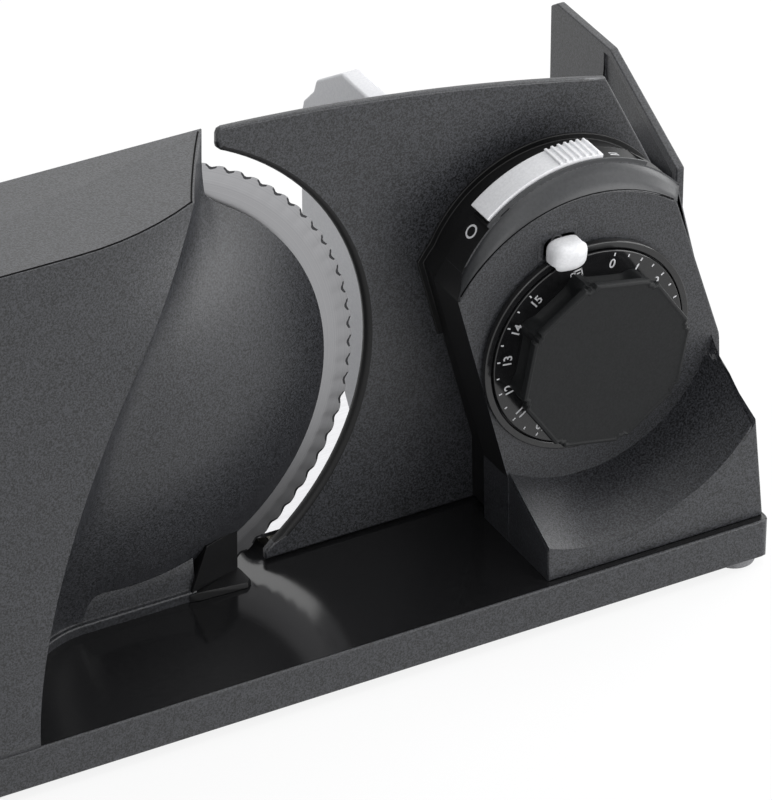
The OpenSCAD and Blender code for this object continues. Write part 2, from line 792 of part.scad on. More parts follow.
plate_screw_places = [for (x = rod_places, z = [table_z + 10, table_z + 24]) [x, z]];
carrier_t = 3;
module stop_carrier() {
  y0 = plate_front - carrier_t;
  block_half = rod_z - floor_top - 0.3;
  color("#77797c") difference() {
    union() {
      box(rod_places[0] - 8, rod_places[1] + 8, y0, plate_front, table_z + 2, table_z + 29);
      for (x = rod_places) {
        box(x - 3, x + 3, plate_front - 8, plate_front, rod_z + 3, table_z + 6);
        box(x - 6, x + 6, plate_front - 18, plate_front, rod_z - block_half, rod_z + block_half);
      }
    }
    for (x = rod_places) pin_y(rod_r + 1, plate_front - 20, plate_front + cut, x, rod_z);
    for (p = plate_screw_places) pin_y(1.5 + fit, y0 - cut, plate_front + cut, p[0], p[1]);
  }
}

module carrier_bushes() {
  color("#b08a4a") for (x = rod_places) tube_y(rod_r + 1, rod_r + fit, plate_front - 18, plate_front, x, rod_z);
}

module plate_screws() {
  color("silver") for (p = plate_screw_places) {
    pin_y(1.5, plate_front - carrier_t, plate_back - 1.2, p[0], p[1]);
    pin_y(2.7, plate_front - carrier_t - 1.8, plate_front - carrier_t, p[0], p[1]);
  }
}

module lead_screw() {
  color("#b0b0b2") {
    pin_y(13, plate_front - 2.5, plate_front, dial_x, dial_z);
    pin_y(lead_r, panel_y + 1.5, plate_front - 2.5, dial_x, dial_z);
  }
}

module plate_shroud() {
  color("#45474a") difference() {
    union() {
      along_y(hood_rear - 0.5, plate_front) offset(delta = -roof_wall - slack) hood_outline();
      along_y(plate_front - shroud_rim, plate_front) intersection() {
        hood_outline();
        translate([lip_left - rim_r, dial_z]) square(4 * rim_r);
      }
    }
    along_y(hood_rear - 1, plate_front + cut) {
      offset(delta = -roof_wall - slack - shroud_t) hood_outline();
      translate([lip_left + wall + 3, 0]) square([right_x - lip_left - 12, table_z + 8]);
    }
  }
}

// Guides
module guide_rods() {
  color("#c4c4c6") for (x = rod_places) pin_y(rod_r, rod_y0, rod_y1, x, rod_z);
}

rail_half = 5;
rail_top = table_z + 3.2;
rail_x0 = left_x + 8;
rail_x1 = right_x - 8;
rail_screw_x = [for (f = [0.1, 0.5, 0.9]) rail_x0 + (rail_x1 - rail_x0) * f];
module carriage_rail() {
  color("#b0b0b2") difference() {
    box(rail_x0, rail_x1, rail_y - rail_half, rail_y + rail_half, table_z, rail_top);
    for (x = rail_screw_x) {
      pin_z(1.5 + fit, table_z - cut, rail_top + cut, x, rail_y);
      pin_z(3, rail_top - 1.7, rail_top + cut, x, rail_y);
    }
  }
}

module rail_screws() {
  color("silver") for (x = rail_screw_x) {
    pin_z(1.5, table_z - 2, rail_top - 1.7, x, rail_y);
    pin_z(2.9, rail_top - 1.7, rail_top - 0.2, x, rail_y);
  }
}

// Carriage
carriage_x1 = wall_x;
carriage_x0 = carriage_x1 - carriage_l;
module carriage_floor() {
  color("#c4c4c6") round_box(carriage_x0, carriage_x1, floor_y0, floor_y1, floor_z, floor_z + floor_t, 5);
}

// Raised end wall with a step, seen from the end of the machine
wall_y0 = plate_back + slack;
wall_y1 = back_y - 42;
wall_step = wall_y1 - 40;
wall_peak = table_z + carriage_peak;
wall_recess = 1.8;
module wall_profile(w) {
  polygon([[wall_y0 + w, floor_z + floor_t + w], [wall_y0 + w, wall_peak - 23 - w],
    [wall_y1 - 43.5, wall_peak - w], [wall_y1 - 4, wall_peak - 1.9 - w],
    [wall_y1 - w, wall_peak - 4.6 - w], [wall_y1 - w, floor_z + floor_t + w]]);
}

module carriage_wall() {
  color("#2b2c2e") {
    difference() {
      along_x(wall_x, wall_x + wall_t) wall_profile(0);
      intersection() {
        along_x(wall_x - cut, wall_x + wall_recess) wall_profile(3);
        box(wall_x - cut, right_x, wall_y0, wall_step, floor_z, housing_top);
      }
      for (y = wall_screw_y) translate([wall_x, y, wall_screw_z]) rotate([0, 90, 0]) {
        translate([0, 0, -cut]) cylinder(r = 1.5 + fit, h = 20);
        translate([0, 0, wall_t - head_sink]) cylinder(r = 2.9, h = 20);
      }
    }
    difference() {
      box(wall_x - 8, wall_x, wall_step, wall_y1, floor_z + floor_t, floor_z + floor_t + 12);
      for (y = wall_screw_y)
        translate([wall_x - 10, y, wall_screw_z]) rotate([0, 90, 0]) cylinder(r = 1.5 + fit, h = 20);
    }
  }
}

wall_screw_y = [wall_y1 - 30, wall_y1 - 10];
wall_screw_z = floor_z + floor_t + 6;
head_sink = 1.4;            // depth of the counterbore for a screw head
module wall_screws() {
  color("silver") for (y = wall_screw_y) translate([wall_x - 7, y, wall_screw_z]) rotate([0, 90, 0]) {
    cylinder(r = 1.5, h = 7 + wall_t - head_sink);
    translate([0, 0, 7 + wall_t - head_sink]) cylinder(r = 2.7, h = 1.2);
  }
}

// Two shoes straddle the rail, two pads slide on the table
glide_x = [carriage_x0 + 8, carriage_x1 - 32];
module carriage_glides() {
  color("#d8d4c4") for (x = glide_x) {
    difference() {
      box(x, x + 24, rail_y - 12, rail_y + 12, table_z + 0.3, floor_z);
      box(x - cut, x + 25, rail_y - rail_half - 0.3, rail_y + rail_half + 0.3, 0, rail_top + 0.3);
    }
    box(x, x + 24, floor_y0 + 3, floor_y0 + 13, table_z + 0.3, floor_z);
  }
}

// Rail for the food holder, on the inner face of the wall
holder_z = table_z + 84;
rail_w = 6;
module holder_rail() {
  color("#b0b0b2") box(wall_x - rail_w, wall_x, wall_y0 + 4, wall_y1 - 2, holder_z, holder_z + 7);
}

// Food holder: tall end cheek, presser plate, arm with a hook on the rail
cheek_x = right_x - 112;
cheek_t = 7;
presser_y = blade_y + 10;
module food_holder() {
  y1 = presser_y + 49;
  top = table_z + 154;
  hook_x = wall_x - rail_w - 3.5;
  color("#d4d4d6") difference() {
    union() {
      along_x(cheek_x, cheek_x + cheek_t) polygon([[presser_y, floor_z + 14], [presser_y, top],
        [presser_y + 21, top], [y1 - 11, top - 11], [y1 - 9, top - 16], [y1 - 2, top - 23], [y1, top - 30], [y1, holder_z - 4],
        [presser_y + 10, floor_z + 14]]);
      box(cheek_x, hook_x - 20, presser_y, presser_y + 4, floor_z + 14, holder_z + 11);
      box(cheek_x, wall_x - 0.6, presser_y, presser_y + 34, holder_z + 7.4, holder_z + 11);
      box(hook_x, hook_x + 3, presser_y, presser_y + 34, holder_z - 4, holder_z + 11);
    }
    for (p = spike_places) pin_y(1.2, presser_y - cut, presser_y + 5, p[0], p[1]);
  }
}

spike_places = [for (i = [0:3], j = [0:2]) [cheek_x + 18 + 18 * i, floor_z + 26 + 18 * j]];
module holder_spikes() {
  color("#c4c4c6") for (p = spike_places) {
    pin_y(1.2, presser_y, presser_y + 4, p[0], p[1]);
    translate([p[0], presser_y, p[1]]) rotate([90, 0, 0]) cylinder(r1 = 1.2, r2 = 0.3, h = 3.5);
  }
}

base_tray();
table_plate();
rubber_feet();
base_screws();
power_inlet();
power_board();
motor_housing();
housing_back();
housing_plinth();
toe_guard();
motor_can();
motor_end_cap();
motor_magnets();
motor_brushes();
motor_bracket();
motor_screws();
blade_axle();
control_housing();
dial_bezel();
dial_bush();
slider_track();
control_board();
switch_sensor();
button_bracket();
guide_rods();
carriage_rail();
rail_screws();
blade();
blade_gear();
gear_bush();
blade_screws();
blade_cap();
rotor_shaft();
rotor_core();
rotor_coils();
commutator();
pinion();
dial_flange();
dial_knob();
dial_sleeve();
dial_clip();
stop_plate();
stop_carrier();
carrier_bushes();
plate_screws();
lead_screw();
plate_shroud();
switch_slider();
slider_magnet();
lock_button();
button_spring();
carriage_floor();
carriage_wall();
carriage_glides();
wall_screws();
holder_rail();
food_holder();
holder_spikes();
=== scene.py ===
import math

import bmesh
import bpy
from mathutils import Matrix, Vector


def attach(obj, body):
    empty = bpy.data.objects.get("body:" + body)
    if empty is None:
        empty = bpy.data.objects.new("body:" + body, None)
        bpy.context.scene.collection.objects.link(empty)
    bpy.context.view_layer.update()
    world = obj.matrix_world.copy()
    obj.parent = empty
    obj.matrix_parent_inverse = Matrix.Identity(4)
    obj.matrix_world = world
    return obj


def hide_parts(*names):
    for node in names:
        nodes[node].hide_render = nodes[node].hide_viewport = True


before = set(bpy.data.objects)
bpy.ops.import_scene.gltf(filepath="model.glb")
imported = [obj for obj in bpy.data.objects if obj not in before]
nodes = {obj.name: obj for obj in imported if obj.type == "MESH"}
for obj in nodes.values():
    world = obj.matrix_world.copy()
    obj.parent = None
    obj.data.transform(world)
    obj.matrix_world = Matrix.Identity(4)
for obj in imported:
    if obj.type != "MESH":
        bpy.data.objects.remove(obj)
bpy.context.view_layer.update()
scene = bpy.context.scene
MM = 0.001


# Base tray: a shallow ABS moulding that carries everything else and stands on four feet. The mould
# is spark-eroded, which leaves a fine grain, and the rounded rim draws a thin light line.
def linear(colour):
    """An sRGB hex colour as the linear RGBA that a shader socket takes."""
    parts = [int(colour[i:i + 2], 16) / 255 for i in (1, 3, 5)]
    return [p / 12.92 if p <= 0.04045 else ((p + 0.055) / 1.055) ** 2.4 for p in parts] + [1]


def node(tree, kind, inputs=None, **settings):
    """Adds a shader node, sets its properties, then fills or links its inputs."""
    made = tree.nodes.new(kind)
    for name, value in settings.items():
        setattr(made, name, value)
    for name, value in (inputs or {}).items():
        if isinstance(value, bpy.types.NodeSocket):
            tree.links.new(value, made.inputs[name])
        else:
            made.inputs[name].default_value = value
    return made


def finish_of(name, **fixed):
    """A new material with its tree and shader; what is the same all over is set on the shader's sockets."""
    made = bpy.data.materials.new(name)
    made.use_nodes = True
    shader = made.node_tree.nodes["Principled BSDF"]
    for socket, value in fixed.items():
        shader.inputs[socket.replace("_", " ")].default_value = value
    return made, made.node_tree, shader


def tone_and_gloss(tree, shader, tone_share, dark, light, gloss_share, rough, spread):
    """Gives the shader a colour between two tones and a roughness about a mean, each by its own pattern."""
    tone = node(tree, "ShaderNodeMix", {"Factor": tone_share, "A": linear(dark), "B": linear(light)},
                data_type="RGBA")
    gloss = node(tree, "ShaderNodeMapRange", {"Value": gloss_share, "To Min": rough - spread,
                                              "To Max": rough + spread})
    tree.links.new(tone.outputs["Result"], shader.inputs["Base Color"])
    tree.links.new(gloss.outputs["Result"], shader.inputs["Roughness"])


def moulded(name, dark, light, grain, depth, rough, shine=0.5):
    """Moulded plastic: colour and height follow one grain (mm), and gloss drifts slowly."""
    dark_at, light_at = 0.38, 0.62          # noise values that give the dark and the light tone
    cloud_grains, gloss_drift = 60, 0.04    # grains across one change of gloss, and how far it drifts
    made, tree, shader = finish_of(name, IOR=1.5, Specular_IOR_Level=shine)
    place = node(tree, "ShaderNodeTexCoord").outputs["Object"]
    speck = node(tree, "ShaderNodeTexNoise", {"Vector": place, "Scale": 1 / (grain * MM), "Detail": 3.0,
                                              "Roughness": 0.65}).outputs["Fac"]
    cloud = node(tree, "ShaderNodeTexNoise", {"Vector": place, "Scale": 1 / (cloud_grains * grain * MM),
                                              "Detail": 2.0}).outputs["Fac"]
    share = node(tree, "ShaderNodeMapRange", {"Value": speck, "From Min": dark_at, "From Max": light_at})
    tone_and_gloss(tree, shader, share.outputs["Result"], dark, light, cloud, rough, gloss_drift)
    bump = node(tree, "ShaderNodeBump", {"Height": speck, "Distance": depth * MM, "Strength": 1.0})
    tree.links.new(bump.outputs["Normal"], shader.inputs["Normal"])
    return made


def piece(name, shape, finishes, body, replaced=(), sharp=50, wall=0):
    """Finishes a mesh as a named piece that rides a body and stands for CAD nodes.

    Edges that turn by more than sharp degrees stay crisp, and a sheet gets a wall inwards (mm)."""
    bmesh.ops.recalc_face_normals(shape, faces=shape.faces)
    mesh = bpy.data.meshes.new(name)
    shape.to_mesh(mesh)
    shape.free()
    for finish in finishes:
        mesh.materials.append(finish)
    mesh.shade_smooth()
    mesh.set_sharp_from_angle(angle=math.radians(sharp))
    made = bpy.data.objects.new(name, mesh)
    scene.collection.objects.link(made)
    if wall:
        made.modifiers.new("wall", "SOLIDIFY").thickness = wall * MM
    made.modifiers.new("even_shading", "WEIGHTED_NORMAL").keep_sharp = True
    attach(made, body)
    if replaced:
        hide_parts(*replaced)


def cad_copy(name):
    """A copy of a CAD node's mesh with its doubles merged and each flat region joined into one face."""
    double_mm, flat_degrees = 0.02, 0.4
    shape = bmesh.new()
    shape.from_mesh(nodes[name].data)
    shape.transform(nodes[name].matrix_world)
    bmesh.ops.remove_doubles(shape, verts=shape.verts, dist=double_mm * MM)
    bmesh.ops.dissolve_limit(shape, angle_limit=math.radians(flat_degrees), verts=shape.verts,
                             edges=shape.edges)
    bmesh.ops.recalc_face_normals(shape, faces=shape.faces)
    return shape


def bevel(shape, edges, width, clamp):
    """Rounds some edges over a width (mm) on each side."""
    bmesh.ops.bevel(shape, geom=edges, offset=width * MM, offset_type="OFFSET", affect="EDGES", segments=2,
                    profile=0.5, clamp_overlap=clamp, material=-1)


def round_edges(shape, width, where=lambda p: True, turn=30):
    """Rounds the edges that turn by more than an angle, where their middles pass the test (mm)."""
    edges = []
    for edge in shape.edges:
        middle = (edge.verts[0].co + edge.verts[1].co) / (2 * MM)
        if len(edge.link_faces) == 2 and edge.calc_face_angle() > math.radians(turn) and where(middle):
            edges.append(edge)
    bevel(shape, edges, width, clamp=False)


# Spark-eroded ABS: the grain, drawn at 0.6 mm so that it shows, breaks the shine into a dull speckled grey.
spark_texture = moulded("spark_textured_ABS", "#0c0d0e", "#3b3c40", grain=0.6, depth=0.08, rough=0.38)
table_z = 18                        # top of the base
rim_x, rim_y = 169.5, 94.5          # what lies further out is the tray's outer wall
rim_drop, rim_round = 0.35, 0.7
near = 0.1                          # how close to a face a point counts as on it

tray = cad_copy("base_tray")
for vert in tray.verts:
    point = vert.co / MM
    if point.z > table_z - near and abs(point.x) < rim_x and abs(point.y) < rim_y:
        vert.co.z -= rim_drop * MM
round_edges(tray, rim_round, lambda p: abs(p.x) > rim_x or abs(p.y) > rim_y)
piece("base_tray_rounded", tray, [spark_texture], "base", ["base_tray"])

# Table: a polished black ABS plate that lies in the tray, screwed on from below. It covers the tray's
# inner rim, so that only the rounded edge stays in sight round it.
plate_x, plate_y = 166, 91                    # the CAD plate's edges lie beyond these
table_edge_x, table_edge_y = 169.2, 94.2      # where they go, over the tray's inner rim
# Polished ABS: with almost no grain, it mirrors the blade and the housings softly.
gloss_black = moulded("polished_black_ABS", "#161617", "#1b1b1c", grain=2, depth=0.005, rough=0.12)

table = cad_copy("table_plate")
for vert in table.verts:
    point = vert.co / MM
    if point.z > table_z - near and abs(point.x) > plate_x:
        vert.co.x = math.copysign(table_edge_x, point.x) * MM
    if point.z > table_z - near and abs(point.y) > plate_y:
        vert.co.y = math.copysign(table_edge_y, point.y) * MM
piece("table_fitted", table, [gloss_black], "base", ["table_plate"])

# Feet: four soft rubber buttons, moulded with a rounded sole and pushed into holes in the tray,
# which keep the slicer from sliding.
sole_round, sole_z = 1.6, 1
# Moulded rubber: a dull mid grey that has no clear shine.
rubber = moulded("moulded_rubber", "#707072", "#7e7e80", grain=0.7, depth=0.05, rough=0.75)
feet = cad_copy("rubber_feet")
round_edges(feet, sole_round, lambda p: p.z < sole_z)
piece("feet_rounded", feet, [rubber], "base", ["rubber_feet"])


# Motor housing: one large shell of moulded ABS that stands on the table. Its flat front leans back and
# bends at an S line, from which the wall sweeps in to a shallow dome before the blade.
def ease(share):
    """A share from 0 to 1 with a level start and end."""
    return share * share * (3 - 2 * share)


def smooth_min(a, b, width):
    """The smaller of two values, with the change from one to the other rounded over a width."""
    share = max(width - abs(a - b), 0) / width
    return min(a, b) - share * share * width / 4


def sheet(columns, rows, place):
    """A grid of faces whose points come from place(column, row) in mm, and a lookup of those points."""
    shape = bmesh.new()
    bmesh.ops.create_grid(shape, x_segments=columns, y_segments=rows, size=1)
    at = {}
    for vert in shape.verts:
        column, row = round((vert.co.x + 1) / 2 * columns), round((vert.co.y + 1) / 2 * rows)
        vert.co = Vector(place(column, row)) * MM
        at[column, row] = vert
    return shape, at


def join_ends(shape):
    """Merges the points of a sheet that meet, so that a ring or a tube closes."""
    meeting_mm = 0.005
    bmesh.ops.remove_doubles(shape, verts=shape.verts, dist=meeting_mm * MM)


blade_x, blade_z = -40, 95                             # the blade's axis
dome_r, dome_y, dome_sphere = 73.5, 72.28, 133.78      # the dome's rim, and its sphere's centre and radius
lid_z = 184
sweep_h = lid_z - table_z
front_y, front_lean = -94.8, 10.0                      # front at the table, and how far it leans back
left_x, left_lean, left_rear = -168, 4, -34            # left end, its lean, and where its wall stops behind
corner_r, bend = 12, 45                                # upright corner, and the bend before the S line
s_foot_x, s_run, s_power = -95.99, 68, 1.7             # the S line's foot, its run and how it steepens
curl_from, curl_back = 0.74, 12                        # above this share of the height it curls back
end_foot_x, end_run, end_top = -56.99, 48.5, 0.87      # the sweep's inner end: foot, run and top
end_foot_y, end_lean, end_steep, end_top_y = -45, 10.5, 4, -38.9
fold_z, fold_run, fold_back = 175, 2.4, 4.4            # above this height the end wall folds to the rear
rear_y, rear_fold, rear_gap = -38.7, 4.7, 0.2          # the shell's rear edge beside the blade
sweep_round, round_drop, drop_h = 2, 0.75, 60          # 2 is an ellipse; the sweep is flatter higher up
top_drop, top_from = 0.2, 130
past_slope, end_blend, dome_blend = 1.5, 10, 9         # how the sweep runs on past its end, and the blends
housing_wall = 2.4
crowding = 1.6                                         # draws the columns closer at the S line

dome_rows, lid_rows, sweep_columns = 64, 8, 72
wall_end, corner_end, plane_end, edge_column = 3, 9, 15, 21
last_column = edge_column + sweep_columns + 1
dome_top = blade_z + dome_r
heights = [table_z] + [blade_z - dome_r * math.cos(math.pi * i / dome_rows) for i in range(dome_rows + 1)]
heights += [dome_top + (lid_z - dome_top) * i / lid_rows for i in range(1, lid_rows + 1)]
top_row = len(heights) - 1


def sweep_line(z):
    """At a height: the S line's x and y, the sweep's inner end x and y, and the flat front's y."""
    up = (z - table_z) / sweep_h
    fold = max(0, z - fold_z) / (lid_z - fold_z)
    front = front_y + front_lean * up
    edge_y = front + curl_back * (max(0, up - curl_from) / (1 - curl_from)) ** 2
    end_x = end_foot_x + end_run * ease(min(1, up / end_top)) + fold_run * fold
    end_y = min(end_foot_y + end_lean * up ** end_steep, end_top_y + fold_back * fold)
    return s_foot_x + s_run * up ** s_power, edge_y, end_x, end_y, front


def housing_point(column, row):
    """Columns run from the left end's rear round the corner, the front and the S line to the dome's rim."""
    z = heights[row]
    left = left_x + left_lean * (z - table_z) / sweep_h
    edge_x, edge_y, end_x, end_y, front = sweep_line(z)
    if column <= wall_end:
        return left, left_rear + (front + corner_r - left_rear) * column / wall_end, z
    if column <= corner_end:
        turn = math.radians(90 * (column - wall_end) / (corner_end - wall_end))
        return left + corner_r * (1 - math.cos(turn)), front + corner_r * (1 - math.sin(turn)), z
    if column <= plane_end:
        share = (column - corner_end) / (plane_end - corner_end)
        return left + corner_r + (edge_x - bend - left - corner_r) * share, front, z
    if column <= edge_column:
        share = (column - plane_end) / (edge_column - plane_end)
        return edge_x - bend + bend * share, front + (edge_y - front) * share * share, z
    reach = math.sqrt(max(0, dome_r ** 2 - (z - blade_z) ** 2))
    dome_end = blade_x + reach if z < dome_top else -math.inf
    last_x = -smooth_min(-end_x, -dome_end, end_blend)
    share = min(1, (column - edge_column) / sweep_columns)
    x = edge_x + (last_x - edge_x) * share ** crowding
    rear = rear_y + rear_fold * max(0, z - fold_z) / (lid_z - fold_z)
    if column == last_column:
        return x, rear, z
    if x <= end_x:
        power = sweep_round - round_drop * ease(min(1, (z - table_z) / drop_h))
        power -= top_drop * max(0, (z - top_from) / (lid_z - top_from))
        inner = max(0, 1 - ((end_x - x) / (end_x - edge_x)) ** power) ** (1 / power)
        y_sweep = edge_y + (end_y - edge_y) * inner
    else:
        y_sweep = end_y + past_slope * (x - end_x)
    y_dome = dome_y - math.sqrt(dome_sphere ** 2 - (x - blade_x) ** 2 - (z - blade_z) ** 2)
    return x, min(smooth_min(y_sweep, y_dome, dome_blend), rear - rear_gap), z


housing, at = sheet(last_column, top_row, housing_point)
housing.faces.new([at[column, top_row] for column in range(last_column + 1)])
top_line = [at[column, top_row].co / MM for column in range(last_column - 1)]
piece("motor_housing_shell", housing, [spark_texture], "base", ["motor_housing"],
      sharp=25, wall=housing_wall)


# Lid joint: the lid is a flat moulding of its own that drops into the top of the shell. Only the
# narrow dark gap round it shows, just inside the top edge.
def bead(line, radius, sides=6):
    """A thin round bead along a line of points in mm."""
    upright = Vector((0, 0.3, 1))    # leans back, so that no stretch of a line runs along it

    def place(column, row):
        along = (line[min(column + 1, len(line) - 1)] - line[max(column - 1, 0)]).normalized()
        side = along.cross(upright).normalized()
        turn = 2 * math.pi * row / sides
        return line[column] + (side * math.cos(turn) + side.cross(along) * math.sin(turn)) * radius
    shape = sheet(len(line) - 1, sides, place)[0]
    join_ends(shape)
    return shape


# The bottom of a joint: nearly no light comes back from it, so it reads as a black line.
seam_black = moulded("shaded_joint_ABS", "#060607", "#0a0a0b", grain=1, depth=0.01, rough=0.7, shine=0.05)
lid_inset, lid_gap_r = 0.9, 0.3
lid_line = []
for before, point, after in zip(top_line, top_line[1:], top_line[2:]):
    along = (after - before).normalized()
    lid_line.append(point + Vector((-along.y, along.x, 0)) * lid_inset)
piece("lid_joint", bead(lid_line, lid_gap_r), [seam_black], "base")

# Plinth: a low strip of moulded ABS along the foot of the sweep and the dome. It stands on the table
# and hides the joint between the housing and the base.
foot_x, foot_y, foot_end_x, foot_end_y = sweep_line(table_z)[:4]
foot_run, foot_depth = foot_end_x - foot_x, foot_end_y - foot_y
first_turn, foot_steps, strip_end_x = 24, 24, -17
foot_curve = []
for i in range(foot_steps + 1):
    turn = math.radians(first_turn + (90 - first_turn) * i / foot_steps)
    outward = Vector((math.cos(turn) / foot_run, -math.sin(turn) / foot_depth, 0)).normalized()
    on_curve = Vector((foot_end_x - foot_run * math.cos(turn), foot_y + foot_depth * math.sin(turn), 0))
    foot_curve.append((on_curve, outward))
foot_curve.append((Vector((strip_end_x, foot_end_y, 0)), Vector((0, -1, 0))))
# each row's distance out from the foot and its height: a lip, then a wall that runs up into the dome
plinth_rows = ((1.5, 18), (1.5, 20.9), (1.2, 21.3), (0.2, 21.5), (0, 22.5), (-0.3, 27), (-1.2, 33),
               (-4, 39), (-6, 39))


def plinth_point(column, row):
    on_curve, outward = foot_curve[column]
    out, z = plinth_rows[row]
    return on_curve + outward * out + Vector((0, 0, z))


strip = sheet(len(foot_curve) - 1, len(plinth_rows) - 1, plinth_point)[0]
piece("plinth_strip", strip, [spark_texture], "base", ["housing_plinth"], sharp=30)

# Toe guard: a small faceted fin of moulded ABS that covers the foot of the blade, with a thin pointed
# toe that spreads from it over the table.
guard_round = 0.25
fin_corners = ((-20, -46.6, 18), (-13, -46.2, 37.2), (-7, -44.2, 37.2), (1, -40.2, 36), (1, -40.2, 18),
               (-12, -44, 18), (-20, -39.6, 18), (-13, -39.6, 37.2), (1, -39.6, 36), (1, -39.6, 18))
toe_corners = ((-20, -46.9, 18.1), (-17, -47.8, 18.1), (0.5, -48.6, 18.1), (2.6, -46.8, 18.1),
               (1.4, -39.8, 18.1), (-20, -46.9, 20.6), (-17, -47.4, 21.2), (0.4, -48.2, 20.0),
               (2.2, -46.6, 20.0), (1.2, -39.8, 21.0))
# Satin ABS: black with a weak broad shine, so that it steps back beside the grey housing.
satin_black = moulded("satin_black_ABS", "#0c0c0d", "#121213", grain=0.8, depth=0.02, rough=0.45, shine=0.3)
guard = bmesh.new()
for corners in (fin_corners, toe_corners):
    bmesh.ops.convex_hull(guard, input=[guard.verts.new(Vector(p) * MM) for p in corners])
bevel(guard, guard.edges[:], guard_round, clamp=True)
piece("toe_guard_fin", guard, [satin_black], "base", ["toe_guard"], sharp=30)


# Blade: a flat disc of stainless steel, screwed to its gear. Its edge is ground in from the front to
# asymmetric teeth, and one half of each tooth's edge band carries painted shade.
def metal(name, dark, light, rough, grain=None):
    """Metal with fine marks of a size along X, Y and Z (mm), or else in rings about the blade's axis."""
    ring_mm, gloss_drift = 0.4, 0.06
    made, tree, shader = finish_of(name, Metallic=1.0)
    place = node(tree, "ShaderNodeTexCoord").outputs["Object"]
    if grain:
        marks = node(tree, "ShaderNodeMapping", {
            "Vector": place, "Scale": [1 / (size * MM) for size in grain]})
    else:
        flat = node(tree, "ShaderNodeMapping", {
            "Vector": place, "Location": (-blade_x * MM, 0, -blade_z * MM)})
        flat = node(tree, "ShaderNodeVectorMath", {0: flat.outputs["Vector"], 1: (1, 0, 1)},
                    operation="MULTIPLY")
        far = node(tree, "ShaderNodeVectorMath", {0: flat.outputs["Vector"]}, operation="LENGTH")
        rings = node(tree, "ShaderNodeMath", {0: far.outputs["Value"], 1: 1 / (ring_mm * MM)},
                     operation="MULTIPLY")
        marks = node(tree, "ShaderNodeCombineXYZ", {"X": rings.outputs[0]})
    fine = node(tree, "ShaderNodeTexNoise", {"Vector": marks.outputs["Vector"], "Scale": 1.0,
                                             "Detail": 3.0}).outputs["Fac"]
    tone_and_gloss(tree, shader, fine, dark, light, fine, rough, gloss_drift)
    return made


# Ground steel: rings about the axle, drawn 0.4 mm apart so that they show, spread each reflection.
blade_steel = metal("ground_blade_steel", "#8a8a8c", "#a6a6a8", rough=0.38)
# Painted shade: a darker steel on one half of each tooth's edge band, standing in for the shade that darkens
# the teeth.
painted_shade_steel = metal("painted_shade_edge_steel", "#38383a", "#4a4a4c", rough=0.4)
teeth, tooth_steps, tooth_lean = 76, 8, 1.7
blade_r, grind_r, flat_r, hub_r, bore_r = 85, 80, 78.5, 62, 16
blade_front, blade_back = -37.1, -35.9
# each ring's radius, y, and the depth to which the teeth cut it
blade_rings = ((bore_r, blade_front, 0), (hub_r, blade_front, 0), (flat_r, blade_front, 0),
               (grind_r, -37.0, 0.3), (blade_r - 0.6, -36.66, 1.2), (blade_r, -36.6, 0.9),
               (blade_r, -36.5, 0.9), (grind_r, blade_back, 0), (bore_r, blade_back, 0),
               (bore_r, blade_front, 0))
edge_row = 4
blade_columns = teeth * tooth_steps


def blade_point(column, row):
    turn = 2 * math.pi * column / blade_columns
    phase = (column % tooth_steps) / tooth_steps
    far, y, wave = blade_rings[row]
    far -= wave * (0.5 - 0.5 * math.cos(2 * math.pi * phase ** tooth_lean))
    return blade_x + far * math.cos(turn), y, blade_z + far * math.sin(turn)


disc, at = sheet(blade_columns, len(blade_rings) - 1, blade_point)
# Painted shade: the outer 0.6 mm band on the second half of each tooth gets the dark steel.
for column in range(blade_columns):
    for face in at[column, edge_row].link_faces:
        if at[column, edge_row + 1] in face.verts and column % tooth_steps >= tooth_steps // 2:
            face.material_index = 1
join_ends(disc)
piece("blade_ground", disc, [blade_steel, painted_shade_steel], "blade", ["blade"], sharp=12)


# Stop plate: a flat ABS plate that the food slides along, screwed to a carrier that runs on rods in the
# base. Its border is rounded, most of all beside the blade, where the rounding is bare black plastic.
def from_axis(p, x, z):
    """How far a point lies from an axis along Y."""
    return math.hypot(p.x - x, p.z - z)


def beside_blade(p):
    gap_r, gap_foot = 93.5, 25
    return from_axis(p, blade_x, blade_z) < gap_r and p.z > gap_foot


plate_front, plate_middle = -38, -36.5
tip_x, tip_z = 1, 150                             # the tip's upright corners lie left of and above these
tip_round, blade_side_round, border_round = 2.2, 2.0, 0.9
half_plate = plate_middle - plate_front
mid_plane = 0.5                                   # an upright edge's middle lies this close to it
facing = 0.97                                     # faces that look less than this along Y are the border

plate = cad_copy("stop_plate")
round_edges(plate, tip_round, lambda p: abs(p.y - plate_middle) < mid_plane and p.x < tip_x and p.z > tip_z)
round_edges(plate, blade_side_round, lambda p: p.y < plate_front + near and beside_blade(p))
round_edges(plate, border_round, lambda p: abs(p.y - plate_middle) > half_plate - near
            and not beside_blade(p))
for face in plate.faces:
    if abs(face.normal.y) < facing and beside_blade(face.calc_center_median() / MM):
        face.material_index = 1
piece("stop_plate_rounded", plate, [spark_texture, satin_black], "stop", ["stop_plate"],
      sharp=60)

# Shroud: a moulded ABS sleeve on the plate's dial side that telescopes in the control housing, so
# that no gap opens between them as the plate moves.
shroud_round, shroud_foot = 0.3, 90
shroud = cad_copy("plate_shroud")
round_edges(shroud, shroud_round, lambda p: p.z > shroud_foot)
piece("shroud_rounded", shroud, [satin_black], "stop", ["plate_shroud"])
